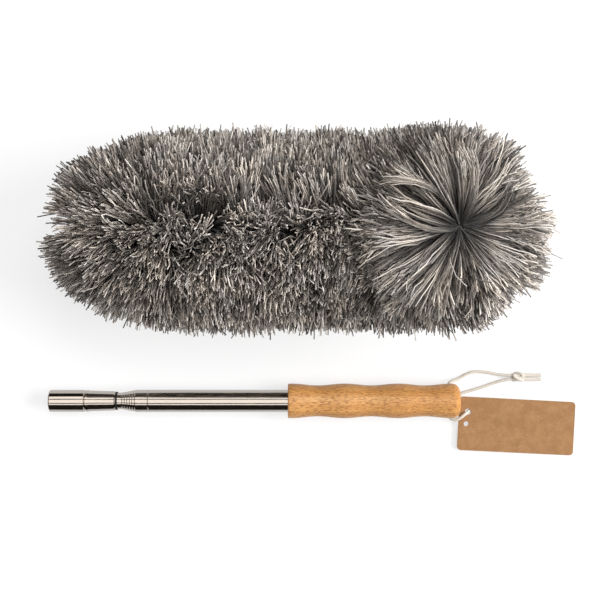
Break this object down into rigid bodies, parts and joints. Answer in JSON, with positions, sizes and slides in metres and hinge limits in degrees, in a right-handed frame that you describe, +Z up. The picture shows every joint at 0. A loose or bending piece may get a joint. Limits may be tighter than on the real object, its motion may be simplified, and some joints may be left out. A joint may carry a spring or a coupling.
{
  "type": "telescopic duster",
  "caption": "Telescopic duster: turned bamboo grip, nested steel pole, hang cord with a blank tag, and a loose bendable head of long microfibre pile beside it.",
  "frame": {"origin": "on the table, below the middle of the box round the pole, grip and head as they lie", "axes": "+X along the pole from its tip to the grip, +Y from the pole to the head, +Z up"},
  "size_m": [0.4133, 0.2468, 0.1758],
  "materials": {
    "bamboo": "sealed bamboo, semi-matt",
    "polished_steel": "polished steel",
    "brass": "plain",
    "spring_steel": "plain",
    "nylon": "matt",
    "rubber": "matt",
    "foam": "matt",
    "pile": "long twisted microfibre threads, taupe grey",
    "cotton_cord": "twisted cotton, off-white",
    "kraft_card": "uncoated brown card"
  },
  "bodies": {
    "handle": {"grip": "bamboo", "mouth_ferrule": "polished_steel", "tube_1": "polished_steel", "tube_plug": "nylon", "pile_1": "pile", "pile_2": "pile", "pile_3": "pile", "pile_4": "pile", "pile_5": "pile", "pile_6": "pile", "pile_7": "pile", "core_sleeve": "foam", "spine_wire": "spring_steel", "head_socket": "nylon", "socket_snap_ring": "spring_steel", "head_end_cap": "nylon", "hang_cord_upper": "cotton_cord", "hang_cord_lower": "cotton_cord", "cord_knot": "cotton_cord", "cord_end_upper": "cotton_cord", "cord_end_lower": "cotton_cord", "tag": "kraft_card"},
    "section_2": {"tube_2": "polished_steel", "friction_collar_2": "brass"},
    "section_3": {"tube_3": "polished_steel", "friction_collar_3": "brass"},
    "section_4": {"tube_4": "polished_steel", "friction_collar_4": "brass"},
    "section_5": {"tube_5": "polished_steel", "friction_collar_5": "brass"},
    "section_6": {"tube_6": "polished_steel", "friction_collar_6": "brass"},
    "section_7": {"tube_7": "polished_steel", "friction_collar_7": "brass", "tip_sleeve": "polished_steel", "tip_end_cap": "polished_steel", "tip_buffer_ring": "rubber"}
  },
  "joints": [
    {"name": "section_2_slide", "type": "slide", "parent": "handle", "child": "section_2", "axis": [-1, 0, 0], "range_m": [0, 0.1133]},
    {"name": "section_3_slide", "type": "slide", "parent": "section_2", "child": "section_3", "axis": [-1, 0, 0], "range_m": [0, 0.1133]},
    {"name": "section_4_slide", "type": "slide", "parent": "section_3", "child": "section_4", "axis": [-1, 0, 0], "range_m": [0, 0.1133]},
    {"name": "section_5_slide", "type": "slide", "parent": "section_4", "child": "section_5", "axis": [-1, 0, 0], "range_m": [0, 0.1133]},
    {"name": "section_6_slide", "type": "slide", "parent": "section_5", "child": "section_6", "axis": [-1, 0, 0], "range_m": [0, 0.1133]},
    {"name": "section_7_slide", "type": "slide", "parent": "section_6", "child": "section_7", "axis": [-1, 0, 0], "range_m": [0, 0.1133]}
  ]
}
